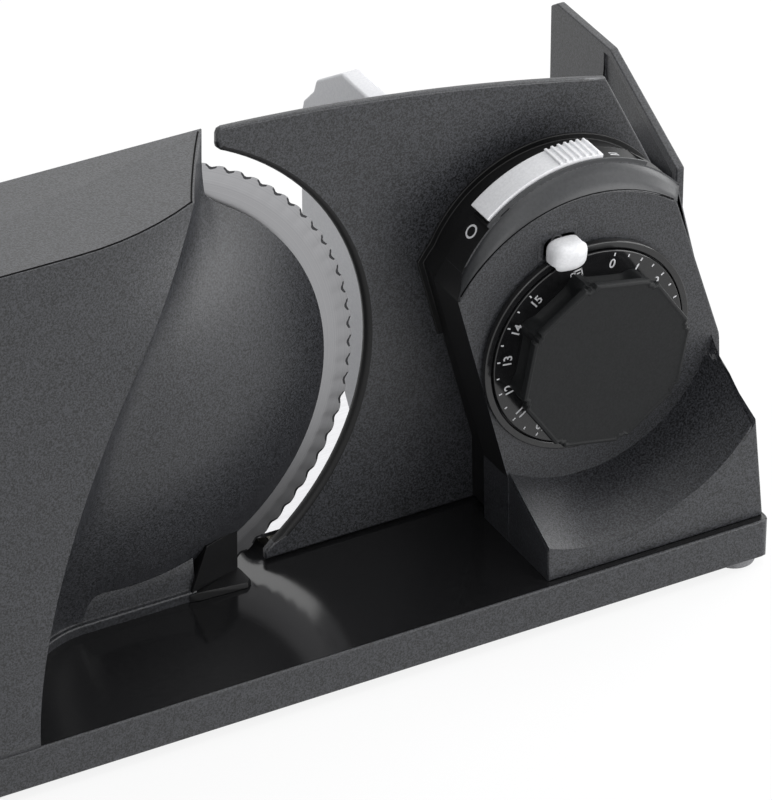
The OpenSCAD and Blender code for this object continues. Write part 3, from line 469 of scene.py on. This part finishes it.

# Control housing: an ABS hood for the dial on a block with a scooped front, moulded in one and set on
# the table. The arched roof and its sides behind the band, and the right end behind it, get satin black as
# painted shade.
panel_y, roof_y, hood_rear, lip_y = -65.5, -60.5, -49.5, -92
roof_x, roof_z, dial_x, dial_z = 115.3, 101.8, 114.5, 87
scoop_r, lip_r, scoop_wall = 50, 58, 3.2          # the scoop's cone at the panel and the lip, and its wall
lip_left, lip_fall, fall_x = 87.5, 4.6, 135       # the lip falls to its left end, from an x onwards
skin_sunk, cone_slack, panel_depth, scoop_top = 1.0, 0.4, 0.02, 67
hood_round, arch_foot, block_r, block_right = 0.7, 95, 61, 160
button_hole_x, button_hole_z = (96, 112), (121, 134)
roof_inner_r, roof_foot, painted_shade_right, painted_shade_behind = 42, 75, 150, 0.3
clear, lip_depth = 1, 0.5                         # before the rear and the panel, and from the lip


def lip_drop(x, depth):
    """How far the scoop's left end lies below the plain cone, for a share of the way out to the lip."""
    return lip_fall * depth * max(0, fall_x - x) / (fall_x - lip_left)


def at_button_hole(p):
    return button_hole_x[0] < p.x < button_hole_x[1] and button_hole_z[0] < p.z < button_hole_z[1]


hood = cad_copy("control_housing")
for vert in hood.verts:
    point = vert.co / MM
    depth = (panel_y - point.y) / (panel_y - lip_y)
    past = from_axis(point, dial_x, dial_z) - (scoop_r + (lip_r - scoop_r) * depth)
    if depth > panel_depth and -cone_slack < past < scoop_wall and point.z < scoop_top:
        outward = Vector((point.x - dial_x, 0, point.z - dial_z)).normalized()
        vert.co += (outward * skin_sunk - Vector((0, 0, lip_drop(point.x, depth)))) * MM
round_edges(hood, hood_round, lambda p: p.z > arch_foot and p.y < hood_rear - clear and not at_button_hole(p))
round_edges(hood, hood_round, lambda p: p.y < panel_y - clear and from_axis(p, dial_x, dial_z) > block_r
            and (p.x > block_right or p.y < lip_y + lip_depth))
# Painted shade: faces behind the roof's front, on the roof and its sides or far right, get the satin black.
for face in hood.faces:
    middle = face.calc_center_median() / MM
    on_roof_side = from_axis(middle, roof_x, roof_z) > roof_inner_r and middle.z > roof_foot
    if middle.y > roof_y + painted_shade_behind and (on_roof_side or middle.x > painted_shade_right):
        face.material_index = 1
piece("control_housing_rounded", hood, [spark_texture, satin_black], "base",
      ["control_housing"], sharp=20)

# Scoop: the hollow under the dial that leaves room for fingers, moulded with the housing. Its face is
# a closed skin laid in the housing's sunk cone, because its left end dips below a plain cone.
skin_t, skin_steps, skin_columns, scoop_reach = 1.5, 8, 72, 48.6
skin_rows = [(i / skin_steps, 0) for i in range(skin_steps + 1)] + [(1, skin_t), (0, skin_t), (0, 0)]


def scoop_point(column, row):
    depth, under = skin_rows[row]
    far = scoop_r + (lip_r - scoop_r) * depth
    first, last = -math.asin((dial_x - lip_left) / far), math.asin(scoop_reach / far)
    turn = first + (last - first) * column / skin_columns
    x = dial_x + far * math.sin(turn)
    z = dial_z - far * math.cos(turn) - lip_drop(x, depth)
    return x, panel_y + (lip_y - panel_y) * depth, z - under


skin = sheet(skin_columns, len(skin_rows) - 1, scoop_point)[0]
join_ends(skin)
bmesh.ops.holes_fill(skin, edges=[edge for edge in skin.edges if edge.is_boundary], sides=0)
piece("scoop_skin", skin, [spark_texture], "base", sharp=30)

# Arch band: a smooth moulded ABS strip that slopes up from the dial panel to the arched roof. The
# narrow dark joint along its lower edge parts it from the panel.
panel_r, arch_r, band_up, band_proud, band_t = 55, 47.75, 0.05, 0.02, 0.8
panel_from, panel_to, arch_from, arch_to = -58, 38, -66, 50      # degrees from the top
seam_from, seam_to, seam_steps, seam_r = -56, 36, 48, 0.28
band_columns, band_rows = 64, 3
# Smooth ABS: an even grey that catches a soft highlight along the slope.
smooth_grey = moulded("smooth_grey_ABS", "#2a2b2d", "#303133", grain=1.2, depth=0.01, rough=0.4)


def arc_point(x, y, z, radius, degrees):
    turn = math.radians(degrees)
    return Vector((x + radius * math.sin(turn), y, z + radius * math.cos(turn)))


def band_point(column, row):
    share = column / band_columns
    front = arc_point(dial_x, panel_y - band_proud, dial_z, panel_r + band_up,
                      panel_from + (panel_to - panel_from) * share)
    rear = arc_point(roof_x, roof_y - band_proud, roof_z, arch_r, arch_from + (arch_to - arch_from) * share)
    return front.lerp(rear, row / band_rows)


band = sheet(band_columns, band_rows, band_point)[0]
piece("arch_band", band, [smooth_grey], "base", wall=band_t)
seam_line = [arc_point(dial_x, panel_y, dial_z, panel_r, seam_from + (seam_to - seam_from) * i / seam_steps)
             for i in range(seam_steps + 1)]
piece("panel_joint", bead(seam_line, seam_r), [seam_black], "base")

# Switch: a white ABS slider, moulded with finger ribs, that rides along the arched roof. Its black
# track is set in the roof, with a low rim behind and a grey rim before it.
slider_rear, slider_edge, slider_round = -50.6, -48.9, 0.3
track_rear, rim_from_r, rim_r, track_front, track_round = -50.3, 48.3, 48.1, -59.7, 0.2
crisp = 50                                        # degrees; leaves the round faces' own edges alone
# White ABS: clean and smooth, with a soft shine.
white_abs = moulded("smooth_white_ABS", "#dcdcde", "#e6e6e8", grain=1, depth=0.01, rough=0.38)

slider = cad_copy("switch_slider")
for vert in slider.verts:
    if vert.co.y > slider_rear * MM:
        vert.co.y = slider_edge * MM
round_edges(slider, slider_round, turn=crisp)
piece("slider_rounded", slider, [white_abs], "switch", ["switch_slider"])
track = cad_copy("slider_track")
for vert in track.verts:
    out = Vector((vert.co.x - roof_x * MM, 0, vert.co.z - roof_z * MM))
    if vert.co.y > track_rear * MM and out.length > rim_from_r * MM:
        vert.co -= out.normalized() * (out.length - rim_r * MM)
round_edges(track, track_round, turn=crisp)
for face in track.faces:
    face.material_index = int(face.calc_center_median().y < track_front * MM)
piece("track_rounded", track, [satin_black, smooth_grey], "base", ["slider_track"])

# Switch marks: a circle for off and bars for on, pad-printed in white on the arched roof and on the
# track's rim.
ring_steps, ring_radii, ring_y, ring_turn = 36, (1.75, 2.45), -53.8, -49.5
roof_print_r, rim_print_r, bar_steps = 47.66, 48.26, 6
# each bar's angle along the arch, y, length, width and radius
bar_marks = ((-42.9, -55.6, 0.5, 1.6, roof_print_r), (18.2, -54.6, 3.4, 0.55, rim_print_r),
             (18.2, -55.8, 3.4, 0.55, rim_print_r), (17.2, -57.9, 7.5, 0.45, rim_print_r))
# Pad-printed ink: thin, matt and slightly grey.
white_ink = moulded("white_pad_print", "#c8c8ca", "#d4d4d6", grain=0.8, depth=0.002, rough=0.55)


def on_roof(along, y, degrees, radius):
    """A point on the roof, some mm along the arch from an angle."""
    return arc_point(roof_x, y, roof_z, radius, degrees + math.degrees(along / radius))


def ring_mark(column, row):
    turn = 2 * math.pi * column / ring_steps
    far = ring_radii[row]
    return on_roof(far * math.cos(turn), ring_y + far * math.sin(turn), ring_turn, roof_print_r)


ring = sheet(ring_steps, 1, ring_mark)[0]
join_ends(ring)
piece("off_mark", ring, [white_ink], "base")
bars = bmesh.new()
for degrees, y, long, wide, radius in bar_marks:
    corners = [(i * long / bar_steps - long / 2, side * wide / 2)
               for i in range(bar_steps + 1) for side in (-1, 1)]
    verts = [bars.verts.new(on_roof(along, y + off, degrees, radius) * MM) for along, off in corners]
    for i in range(0, 2 * bar_steps, 2):
        bars.faces.new((verts[i], verts[i + 1], verts[i + 3], verts[i + 2]))
piece("on_marks", bars, [white_ink], "base")

# Lock button: a white ABS pebble, creased down its front, that frees the dial when it is pressed in
# against a spring. Its back is cut to a narrower stem that passes through the housing.
button_x, button_z = 105.4, 125.0
half_wide, half_high, squareness = 6.4, 5.2, 0.6
middle_y, out_front, out_back, face_y = -68.5, 6, 3.5, -74.8
crease_x, crease, tilt = 0.8, 0.16, 0.22
stem_low, stem_right, head_back = 122.9, 4.5, -71.3


def squared(value):
    """Turns a circle's coordinate into a rounded square's."""
    return math.copysign(abs(value) ** squareness, value)


pebble = bmesh.new()
bmesh.ops.create_uvsphere(pebble, u_segments=48, v_segments=32, radius=1)
for vert in pebble.verts:
    across, up, out = half_wide * squared(vert.co.x), half_high * squared(vert.co.y), squared(vert.co.z)
    y = middle_y - (out_front if out > 0 else out_back) * out
    y += (crease * abs(across - crease_x) - tilt * up) * max(0, out)
    z = button_z + up
    if y > head_back:
        across, z = min(stem_right, across), max(stem_low, z)
    vert.co = Vector((button_x + across, max(face_y, y), z)) * MM
piece("lock_button_pebble", pebble, [white_abs], "button", ["lock_button"], sharp=60)

# Button collar: a thin ABS ring set flush in the panel, which closes the housing's larger hole round
# the button's stem.
collar_steps, collar_proud, collar_t = 48, 0.1, 0.4
hole_x, hole_z, hole_half_wide, hole_half_high = 104, 128, 7, 5.6
spread_x, spread_z = 9, 8                         # before they are cut to the hole's edges
stem_gap, collar_right, collar_low = 0.2, 110.2, 122.6


def collar_point(column, row):
    turn = 2 * math.pi * column / collar_steps
    across, up = squared(math.cos(turn)), squared(math.sin(turn))
    if row:
        x = hole_x + max(-hole_half_wide, min(hole_half_wide, spread_x * across))
        z = hole_z + max(-hole_half_high, min(hole_half_high, spread_z * up))
    else:
        x = min(collar_right, button_x + (half_wide + stem_gap) * across)
        z = max(collar_low, button_z + (half_high + stem_gap) * up)
    return x, panel_y - collar_proud, z


collar = sheet(collar_steps, 1, collar_point)[0]
join_ends(collar)
piece("button_collar", collar, [spark_texture], "base", wall=collar_t)

# Dial: a flange of polished ABS turns in a ring bezel on the panel, and an eight-sided knob, moulded
# with finger flutes and notched corners, sits on its front.
bezel_round, flange_round = 0.5, 0.4
bezel = cad_copy("dial_bezel")
round_edges(bezel, bezel_round)
piece("bezel_rounded", bezel, [gloss_black], "base", ["dial_bezel"])
flange = cad_copy("dial_flange")
round_edges(flange, flange_round)
piece("flange_rounded", flange, [gloss_black], "dial", ["dial_flange"])

# Fine-textured ABS: a flat near-black that hardly shines.
knob_black = moulded("fine_textured_ABS", "#121314", "#18191a", grain=0.8, depth=0.03, rough=0.5, shine=0.2)
knob_flat, knob_turn, knob_sides, side_steps = 29.56, 11.8, 8, 24
side_degrees = 360 / knob_sides
flute_half, flute_fade, notch_from, notch_depth = 19.5, 6, 20.2, 1.3      # degrees from a side's middle; mm
# each row's y, growth beyond the flat sides, flute depth and share of the corner notch
knob_rows = ((-80.55, -1.9, 0, 1), (-80.95, -1.3, 0, 1), (-81.0, -0.9, 0, 1), (-80.7, -0.3, 0, 1),
             (-80.0, 0, 0, 1), (-78.6, 0, 0, 1), (-77.8, -0.5, 0.3, 1), (-76.8, -1.2, 1.6, 0.6),
             (-74.6, -1.6, 2.8, 0), (-72.2, -1.9, 2.9, 0), (-70.4, -2.1, 2.0, 0), (-68.7, -2.2, 1.2, 0))
knob_columns = knob_sides * side_steps


def knob_point(column, row):
    y, grown, flute, notch = knob_rows[row]
    side = side_degrees * (column / side_steps % 1) - side_degrees / 2
    turn = math.radians(side_degrees * column / side_steps + knob_turn)
    hollow = min(1, max(0, (flute_half - abs(side)) / flute_fade))
    far = knob_flat / math.cos(math.radians(side)) + grown - flute * ease(hollow)
    if abs(side) > notch_from:
        far -= notch_depth * notch
    return dial_x + far * math.cos(turn), y, dial_z + far * math.sin(turn)


knob, at = sheet(knob_columns, len(knob_rows) - 1, knob_point)
knob.faces.new([at[column, 0] for column in range(knob_columns)])
join_ends(knob)
piece("knob_fluted", knob, [knob_black], "dial", ["dial_knob"], sharp=35)

# Scale: numbers from 0 to 15 and ticks, pad-printed in white ink on the flange and wider apart
# towards the thick slices, and a small padlock sign at the locked place.
flange_y, print_proud = -68.6, 0.04
number_size, number_bold, number_space, number_r = 4.5, 0.07, 0.95, 28.7
tick_r, tick_wide, tick_long, half_tick_long = 33.5, 0.5, 1.2, 1.0
last_number, lock_turn, lock_across, lock_out = 15, -9.8, -0.5, 0.2
zero_turn, first_step, widening = 15.8, 19.0, 0.082       # degrees
# the padlock's strokes: place across and outward, width and length
lock_strokes = ((1.2, 28.0, 3.0, 0.6), (1.2, 30.4, 3.0, 0.6), (-0.1, 29.2, 0.5, 2.6),
                (2.5, 29.2, 0.5, 2.6), (1.2, 29.2, 1.4, 0.5), (-0.9, 28.4, 1.3, 0.45),
                (-0.9, 30.0, 1.3, 0.45), (-1.6, 29.2, 0.45, 1.6))
marks = bmesh.new()


def scale_angle(number):
    """Degrees from the top to a number, for a scale that widens as it goes."""
    return zero_turn + first_step * number + widening * number * number


def on_flange(degrees, points):
    """New points of the print, laid flat (across, outward) on the flange at an angle from the top."""
    spin = math.radians(degrees)
    return [marks.verts.new(Vector((dial_x + outward * math.sin(spin) + across * math.cos(spin),
                                    flange_y - print_proud,
                                    dial_z + outward * math.cos(spin) - across * math.sin(spin))) * MM)
            for across, outward in points]


def printed(degrees, across, outward, wide, long):
    left, right, low, high = across - wide / 2, across + wide / 2, outward - long / 2, outward + long / 2
    marks.faces.new(on_flange(degrees, ((left, low), (right, low), (right, high), (left, high))))


for number in range(last_number + 1):
    words = bpy.data.curves.new("number", "FONT")
    words.body = str(number)
    words.size = number_size
    words.offset = number_bold
    words.align_x = "CENTER"
    words.space_character = number_space
    written = bpy.data.objects.new("number", words)
    flat = bpy.data.meshes.new_from_object(written)
    verts = on_flange(scale_angle(number), [(v.co.x, v.co.y + number_r) for v in flat.vertices])
    for polygon in flat.polygons:
        marks.faces.new([verts[i] for i in polygon.vertices])
    bpy.data.objects.remove(written)
    bpy.data.curves.remove(words)
    bpy.data.meshes.remove(flat)
    printed(scale_angle(number), 0, tick_r, tick_wide, tick_long)
    if number < last_number:
        between = (scale_angle(number) + scale_angle(number + 1)) / 2
        printed(between, 0, tick_r, tick_wide, half_tick_long)
for across, outward, wide, long in lock_strokes:
    printed(lock_turn, across + lock_across, outward + lock_out, wide, long)
piece("scale_marks", marks, [white_ink], "dial")

# Carriage wall: an upright end wall of moulded ABS. Its foot, with two screws through it, stands on the
# steel floor that slides beside the blade. A recess in its inner face grows deeper towards the front.
rear_from_y, peak_from_z, rear_in, peak_up = 46, 100, 4.3, 2.2
recess_x = (168.5, 169.1)                         # the recess's floor in the CAD node lies between these
recess_rear_x, recess_rear_y, recess_slant, recess_long = 167.7, 13, 1.7, 47
wall_round, wall_foot = 0.5, 30
end_wall = cad_copy("carriage_wall")
for vert in end_wall.verts:
    point = vert.co / MM
    if point.y > rear_from_y:
        vert.co += Vector((0, -rear_in, peak_up if point.z > peak_from_z else 0)) * MM
    if recess_x[0] < point.x < recess_x[1]:
        vert.co.x = (recess_rear_x + recess_slant * (recess_rear_y - point.y) / recess_long) * MM
round_edges(end_wall, wall_round, lambda p: p.z > wall_foot)
piece("carriage_wall_rounded", end_wall, [spark_texture], "carriage", ["carriage_wall"])

# Food holder: a pusher of pale moulded ABS with spikes and a handle cheek, hung on a rail of the
# carriage wall so that it can slide to and from the stop plate.
holder_round = 1.0
# Pale grey ABS: a light satin grain that stays soft where it faces the light.
pale_grey = moulded("satin_pale_grey_ABS", "#d0d0d3", "#d8d8da", grain=0.8, depth=0.03, rough=0.45)
pusher = cad_copy("food_holder")
round_edges(pusher, holder_round)
piece("food_holder_rounded", pusher, [pale_grey], "holder", ["food_holder"])


# Inner and rear parts: screws, shafts, gears, motor, boards, springs and rails. Each keeps the exact
# shape of its CAD node and gets the finish of what it is made of.
def dress(finish, *names):
    for name in names:
        mesh = nodes[name].data
        mesh.materials.clear()
        mesh.materials.append(finish)


dress(satin_black, "housing_back", "blade_cap", "motor_end_cap", "motor_brushes", "switch_sensor",
      "button_bracket")
dress(rubber, "power_inlet")
# Moulded nylon: ivory and slightly waxy.
dress(moulded("moulded_nylon", "#d2cdbd", "#e2ddcd", grain=1, depth=0.02, rough=0.45),
      "dial_bush", "dial_sleeve", "blade_gear", "carriage_glides")
# Lacquered circuit board: green under a clear shine.
dress(moulded("lacquered_circuit_board", "#20452b", "#2d5a39", grain=2, depth=0.01, rough=0.3),
      "power_board", "control_board")
# Drawn steel: lines along X, drawn 0.5 mm apart so that they show, stretch the reflections across them.
dress(metal("drawn_steel", "#a4a4a6", "#c4c4c6", rough=0.3, grain=(16.7, 0.5, 0.5)),
      "base_screws", "motor_screws", "blade_axle", "guide_rods", "carriage_rail", "rail_screws",
      "blade_screws", "rotor_shaft", "dial_clip", "plate_screws", "lead_screw", "button_spring",
      "wall_screws", "holder_rail", "holder_spikes", "carriage_floor")
# Zinc-plated steel: a grey that clouds slowly.
dress(metal("zinc_plated_steel", "#75777a", "#8d8f92", rough=0.4, grain=(3.3, 3.3, 3.3)),
      "motor_can", "rotor_core")
# Cast aluminium: pale and grainy, without a clear reflection.
dress(metal("cast_aluminium", "#8a8a8c", "#a2a2a4", rough=0.5, grain=(1.1, 1.1, 1.1)),
      "motor_bracket", "stop_carrier")
# Turned brass: warm yellow with a soft shine.
dress(metal("turned_brass", "#a07c40", "#bc9654", rough=0.35, grain=(1.1, 1.1, 1.1)),
      "gear_bush", "carrier_bushes", "pinion")
# Wound copper: reddish, with lines as close as thin wire.
dress(metal("wound_copper", "#9a5826", "#b06c34", rough=0.4, grain=(3.3, 0.33, 3.3)),
      "rotor_coils", "commutator")
# Sintered ferrite: dull and almost black.
dress(metal("sintered_ferrite", "#303032", "#3e3e40", rough=0.7, grain=(0.83, 0.83, 0.83)),
      "motor_magnets", "slider_magnet")


# Stage: a pale paper floor under soft studio light, in a white surround. The floor keeps the shadow,
# and the lamps are low enough that the pale plastics don't clip.
def white_to_camera(tree, lit, output, share):
    """Mixes plain white over a lit shader for rays that come from the camera, a mirror or glass."""
    path = node(tree, "ShaderNodeLightPath").outputs
    seen = node(tree, "ShaderNodeMath", {0: path["Is Camera Ray"], 1: path["Is Glossy Ray"]},
                operation="MAXIMUM")
    seen = node(tree, "ShaderNodeMath", {0: seen.outputs[0], 1: path["Is Transmission Ray"]},
                operation="MAXIMUM")
    part = node(tree, "ShaderNodeMath", {0: seen.outputs[0], 1: share}, operation="MULTIPLY")
    white = node(tree, "ShaderNodeEmission" if output.type == "OUTPUT_MATERIAL" else "ShaderNodeBackground",
                 {"Color": (1, 1, 1, 1), "Strength": 1.0})
    mix = node(tree, "ShaderNodeMixShader", {0: part.outputs[0], 1: lit, 2: white.outputs[0]})
    tree.links.new(mix.outputs[0], output.inputs["Surface"])


floor_half, floor_white = 6, 0.85                 # metres; the rest of the floor's tone is its shadow
floor_mesh = bpy.data.meshes.new("floor")
ground = bmesh.new()
bmesh.ops.create_grid(ground, x_segments=1, y_segments=1, size=floor_half)
ground.to_mesh(floor_mesh)
ground.free()
floor = bpy.data.objects.new("floor", floor_mesh)
scene.collection.objects.link(floor)
paper, tree, shader = finish_of("white_paper", Roughness=0.9, Base_Color=linear("#f4f4f4"))
white_to_camera(tree, shader.outputs[0], tree.nodes["Material Output"], floor_white)
floor_mesh.materials.append(paper)

world_strength = 0.52
world = bpy.data.worlds.new("studio")
scene.world = world
world.use_nodes = True
tree = world.node_tree
ambient = tree.nodes["Background"]
ambient.inputs["Color"].default_value = linear("#f2f4f6")
ambient.inputs["Strength"].default_value = world_strength
white_to_camera(tree, ambient.outputs[0], tree.nodes["World Output"], 1.0)

aim = Vector((0, 0, 0.08))                        # the slicer's middle, in metres
for name, place, size, watts in (
        ("top_softbox", (0.25, -0.1, 1.3), (1.2, 0.9), 6.5),
        ("back_softbox", (0.5, 1.2, 0.9), (1.2, 0.9), 3.5),
        ("front_right_softbox", (1.0, -1.15, 0.3), (0.8, 0.55), 8),
        ("right_softbox", (1.25, 0.08, 0.62), (0.9, 0.7), 12),
        ("front_left_softbox", (-0.5, -1.5, 0.9), (0.8, 0.8), 4.5)):
    lamp = bpy.data.lights.new(name, "AREA")
    lamp.shape = "RECTANGLE"
    lamp.size, lamp.size_y = size
    lamp.energy = watts
    softbox = bpy.data.objects.new(name, lamp)
    softbox.location = place
    softbox.rotation_euler = (aim - Vector(place)).to_track_quat("-Z", "Y").to_euler()
    scene.collection.objects.link(softbox)

# Camera: a long lens from the left front and above, at the place and turn that the photograph's
# straight edges and round blade give.
lens_mm, sensor_mm, view_end = 258.3, 36, 20      # the end of view in metres
camera_place = (-0.6899, -1.4111, 1.0751)
right, up, back = (0.8785, -0.4778, 0), (0.2590, 0.4762, 0.8404), (-0.4015, -0.7383, 0.5420)
camera = bpy.data.objects.new("camera", bpy.data.cameras.new("camera"))
scene.collection.objects.link(camera)
camera.data.lens = lens_mm
camera.data.sensor_width = sensor_mm
camera.data.clip_end = view_end
camera.matrix_world = Matrix.Translation(camera_place) @ Matrix((right, up, back)).transposed().to_4x4()
scene.camera = camera
scene.view_settings.view_transform = "Standard"
